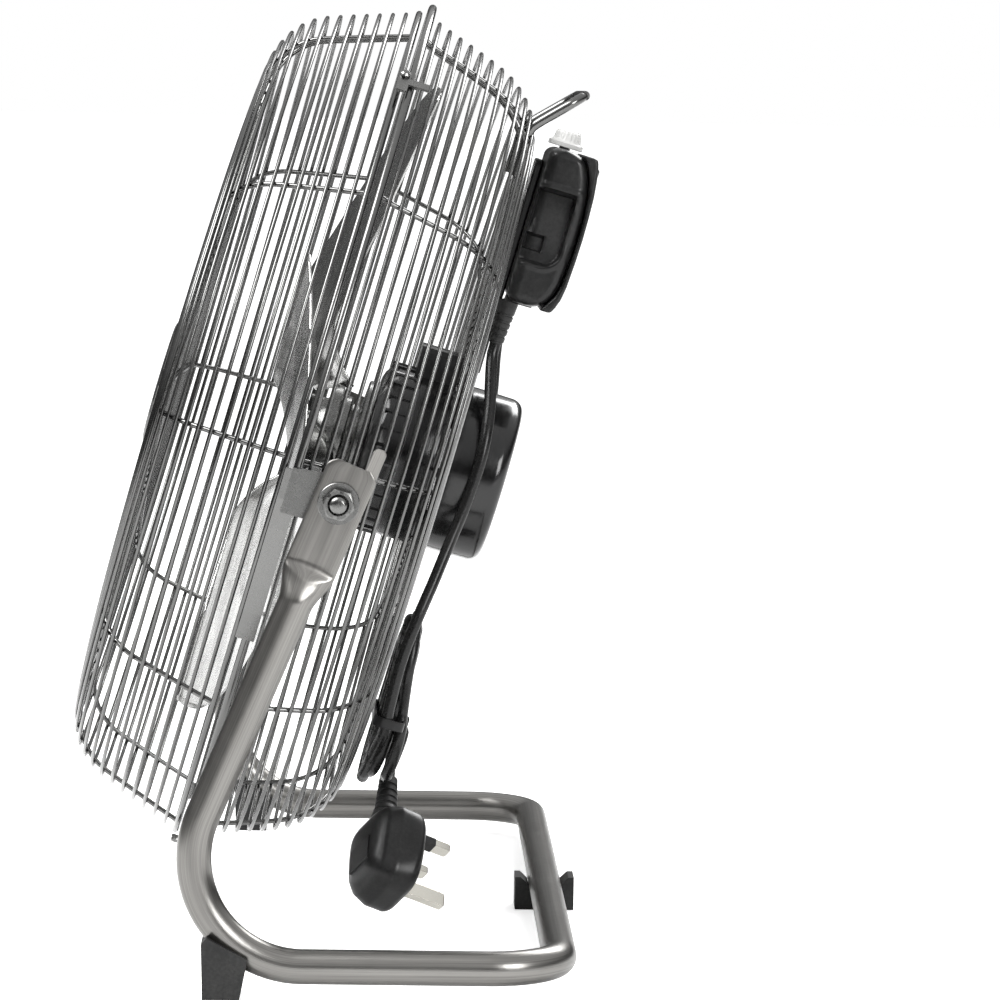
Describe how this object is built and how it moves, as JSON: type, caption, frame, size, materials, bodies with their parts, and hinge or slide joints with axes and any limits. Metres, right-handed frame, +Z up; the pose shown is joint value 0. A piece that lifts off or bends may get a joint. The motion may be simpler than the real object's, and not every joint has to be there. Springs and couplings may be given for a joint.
{
  "type": "floor fan",
  "caption": "High-velocity floor fan: a round wire cage with blades, motor and speed control, tilting between the ends of one bent steel tube",
  "frame": {"origin": "on the floor, in the middle of the width and depth of the fan without its cord", "axes": "+X across the fan, along the tilt axis; -Y the way the air leaves; +Z up"},
  "size_m": [0.4824, 0.258, 0.4518],
  "materials": {
    "brushed_steel": "satin-plated tube, fine brushed grain",
    "chrome": "bright chromed wire",
    "zinc": "bright zinc plating",
    "aluminium": "polished sheet and turned hub",
    "black_rubber": "matte black",
    "black_enamel": "gloss black enamel",
    "black_plastic": "fine-grained satin black",
    "pale_plastic": "pale grey-white",
    "black_cord": "satin black vinyl",
    "copper": "varnished copper",
    "laminations": "stacked steel sheets",
    "nickel_brass": "plated brass"
  },
  "bodies": {
    "stand": {"stand_tube": "brushed_steel", "front_foot_left": "black_rubber", "front_foot_right": "black_rubber", "rear_foot": "black_rubber", "pivot_bolt_left": "zinc", "pivot_bolt_right": "zinc", "tilt_disc_left": "black_plastic", "tilt_disc_right": "black_plastic", "pivot_washer_left": "zinc", "pivot_washer_right": "zinc", "pivot_nut_left": "zinc", "pivot_nut_right": "zinc"},
    "head": {"front_guard": "chrome", "rear_guard": "chrome", "carry_handle": "chrome", "pivot_bracket_left": "zinc", "pivot_bracket_right": "zinc", "guard_clip_1": "zinc", "guard_clip_2": "zinc", "guard_clip_3": "zinc", "guard_clip_4": "zinc", "clip_screw_1": "zinc", "clip_screw_2": "zinc", "clip_screw_3": "zinc", "clip_screw_4": "zinc", "lid_screw_top": "zinc", "lid_screw_bottom": "zinc", "bearing_front": "zinc", "bearing_rear": "zinc", "motor_front_shell": "black_enamel", "motor_rear_shell": "black_enamel", "motor_mount_plate": "black_enamel", "box_strap": "black_enamel", "capacitor_housing": "black_plastic", "motor_cover": "black_plastic", "control_box": "black_plastic", "control_lid": "black_plastic", "cord_tie": "black_plastic", "centre_badge": "pale_plastic", "speed_switch": "pale_plastic", "cord_relief": "black_cord", "motor_lead": "black_cord", "cord_run": "black_cord", "cord_tail": "black_cord", "cord_hank": "black_cord", "plug_body": "black_cord", "stator_windings": "copper", "stator_core": "laminations", "plug_pin_earth": "nickel_brass", "plug_pin_line": "nickel_brass", "plug_pin_neutral": "nickel_brass"},
    "blades": {"rotor": "laminations", "motor_shaft": "zinc", "blade_hub": "aluminium", "blade_nut": "aluminium", "blade_1": "aluminium", "blade_2": "aluminium", "blade_3": "aluminium"},
    "knob": {"speed_knob": "pale_plastic"}
  },
  "joints": [
    {"name": "head_tilt", "type": "hinge", "parent": "stand", "child": "head", "pos_m": [0, 0.00338, 0.2248], "axis": [-1, 0, 0], "range_deg": [-45.85, 74.15]},
    {"name": "blade_spin", "type": "hinge", "parent": "head", "child": "blades", "pos_m": [0, -0.01643, 0.2429], "axis": [0, 0.962, -0.2731], "continuous": true},
    {"name": "knob_turn", "type": "hinge", "parent": "head", "child": "knob", "pos_m": [0, 0.11158, 0.38327], "axis": [0, -0.2731, -0.962], "range_deg": [0, 270]}
  ]
}
